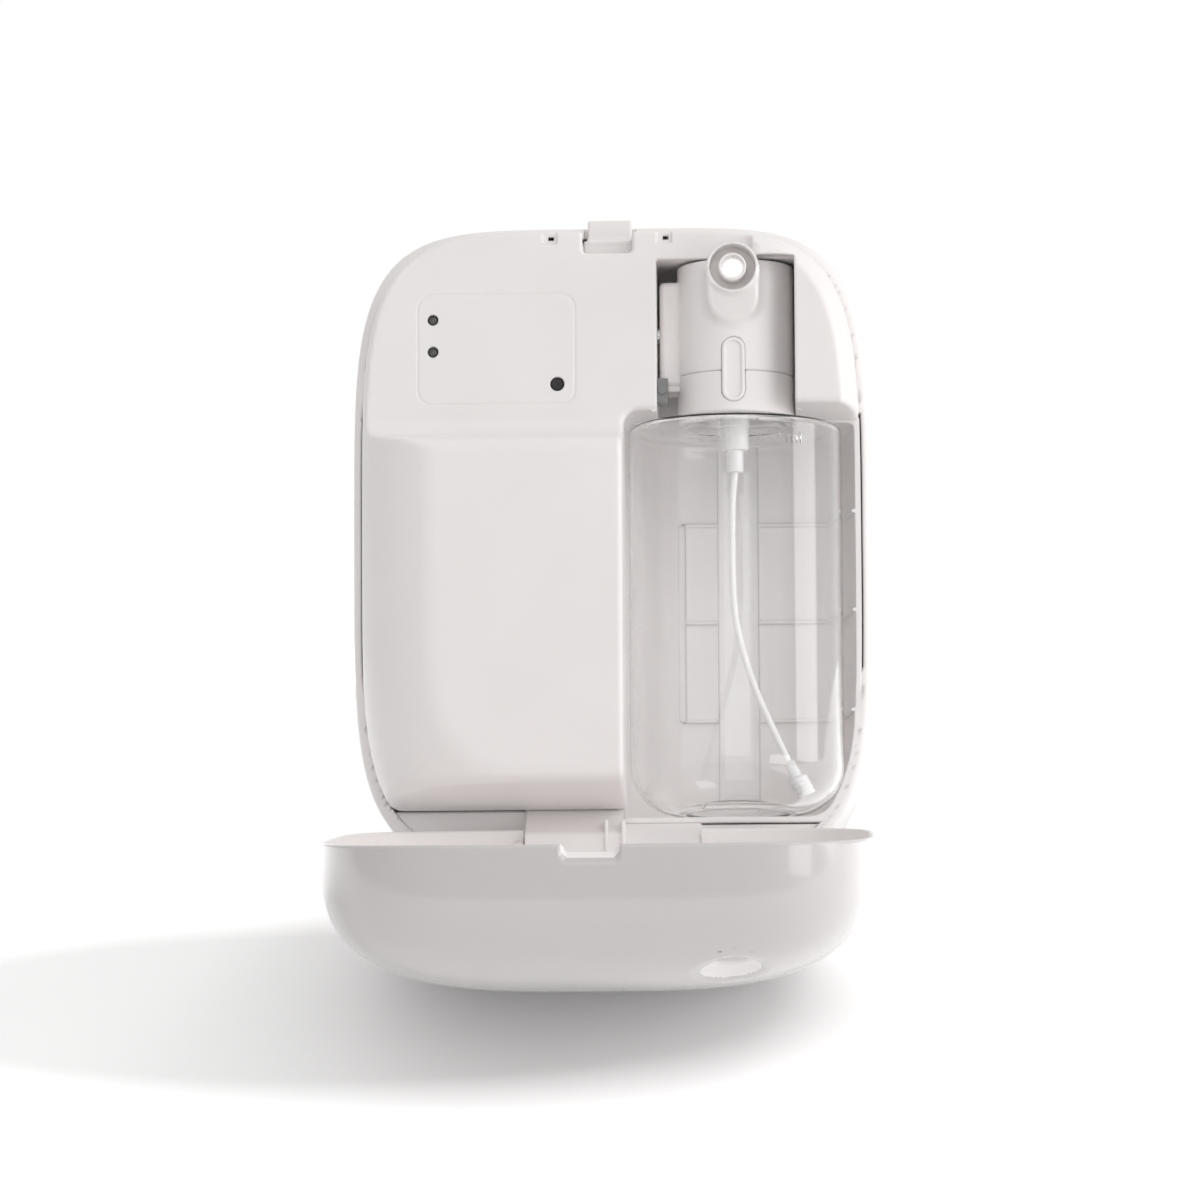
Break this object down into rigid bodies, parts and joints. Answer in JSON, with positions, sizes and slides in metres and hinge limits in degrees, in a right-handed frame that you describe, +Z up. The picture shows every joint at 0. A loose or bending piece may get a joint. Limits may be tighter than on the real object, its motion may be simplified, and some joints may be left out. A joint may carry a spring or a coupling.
{
  "type": "wall mounted foam soap dispenser",
  "caption": "White wall mounted automatic foam soap dispenser with a domed cover hinged open below, a clear bottle under a pump head, and an inner panel with a battery bulge.",
  "frame": {"origin": "on the wall, at the middle of the wall bracket and of the casing's outline", "axes": "+Z up, -Y out of the wall towards the user, +X to the right"},
  "size_m": [0.17, 0.2686, 0.2673],
  "materials": {
    "casing_white": "satin moulded",
    "cover_white": "glossy moulded",
    "panel_white": "fine satin",
    "bay_white": "fine satin",
    "pump_white": "satin moulded",
    "inner_plastic": "as moulded",
    "black_plastic": "as moulded",
    "grey_plastic": "smooth",
    "dark_lens": "smooth",
    "dark_rubber": "matte",
    "seal_rubber": "matte",
    "gear_plastic": "as moulded",
    "frosted_plastic": "translucent",
    "clear_plastic": "clear polished",
    "cell_jacket": "printed jacket, plain",
    "contact_steel": "plated",
    "motor_steel": "zinc plated",
    "pin_steel": "ground",
    "screw_steel": "plated",
    "mesh_steel": "woven",
    "pinion_brass": "cut",
    "board_green": "solder mask"
  },
  "bodies": {
    "casing": {"wall_bracket": "inner_plastic", "rear_housing": "casing_white", "front_panel": "panel_white", "bottle_bay": "bay_white", "battery_box": "inner_plastic", "batteries": "cell_jacket", "battery_contacts": "contact_steel", "circuit_board": "board_green", "status_lights": "dark_lens", "button_switch": "black_plastic", "hand_sensor": "grey_plastic", "motor": "motor_steel", "gearbox_frame": "inner_plastic", "reduction_axle": "pin_steel", "pump_head": "pump_white", "pump_collar": "pump_white", "pump_block": "inner_plastic", "nozzle_tube": "pump_white", "foam_mesh": "mesh_steel", "neck_seal": "seal_rubber", "bottle": "clear_plastic", "intake_fitting": "frosted_plastic", "dip_tube": "frosted_plastic", "filter_weight": "frosted_plastic", "latch_spring": "pin_steel", "housing_screws": "screw_steel", "board_screws": "screw_steel", "motor_screws": "screw_steel"},
    "cover": {"front_cover": "cover_white", "hinge_pins": "pin_steel"},
    "latch": {"latch_button": "casing_white"},
    "mode_key": {"mode_button": "dark_rubber"},
    "release": {"release_key": "pump_white"},
    "cell_door": {"battery_door": "casing_white", "door_springs": "contact_steel"},
    "pinion": {"motor_pinion": "pinion_brass"},
    "wheel": {"reduction_gear": "gear_plastic"},
    "drive": {"output_gear": "gear_plastic", "drive_shaft": "pin_steel"},
    "rotor": {"pump_rotor": "black_plastic"}
  },
  "joints": [
    {"name": "cover_hinge", "type": "hinge", "parent": "casing", "child": "cover", "pos_m": [0, -0.0602, -0.1029], "axis": [1, 0, 0], "range_deg": [-96.8, 0]},
    {"name": "latch_press", "type": "slide", "parent": "casing", "child": "latch", "axis": [0, 0, -1], "range_m": [0, 0.002], "stiffness_N_per_m": 900, "springref_m": -0.001, "deforming": ["latch_spring"]},
    {"name": "mode_press", "type": "slide", "parent": "casing", "child": "mode_key", "axis": [0, 1, 0], "range_m": [0, 0.0008], "stiffness_N_per_m": 600, "springref_m": -0.0005},
    {"name": "release_press", "type": "slide", "parent": "casing", "child": "release", "axis": [0, 1, 0], "range_m": [0, 0.0007], "stiffness_N_per_m": 900, "springref_m": -0.0005},
    {"name": "battery_door_hinge", "type": "hinge", "parent": "casing", "child": "cell_door", "pos_m": [-0.00255, -0.033, -0.1047], "axis": [0, -1, 0], "range_deg": [0, 100]},
    {"name": "drive_spin", "type": "hinge", "parent": "casing", "child": "drive", "pos_m": [0, -0.0552, 0.069], "axis": [1, 0, 0], "continuous": true},
    {"name": "wheel_spin", "type": "hinge", "parent": "casing", "child": "wheel", "pos_m": [0, -0.0443, 0.07713], "axis": [1, 0, 0], "continuous": true},
    {"name": "pinion_spin", "type": "hinge", "parent": "casing", "child": "pinion", "pos_m": [0, -0.02849, 0.08282], "axis": [1, 0, 0], "continuous": true},
    {"name": "rotor_spin", "type": "hinge", "parent": "casing", "child": "rotor", "pos_m": [0, -0.0552, 0.069], "axis": [1, 0, 0], "continuous": true}
  ],
  "couplings": [
    {"joint": "wheel_spin", "follows": "drive_spin", "ratio": -1.8333},
    {"joint": "pinion_spin", "follows": "drive_spin", "ratio": 4.5833},
    {"joint": "rotor_spin", "follows": "drive_spin", "ratio": 1}
  ]
}
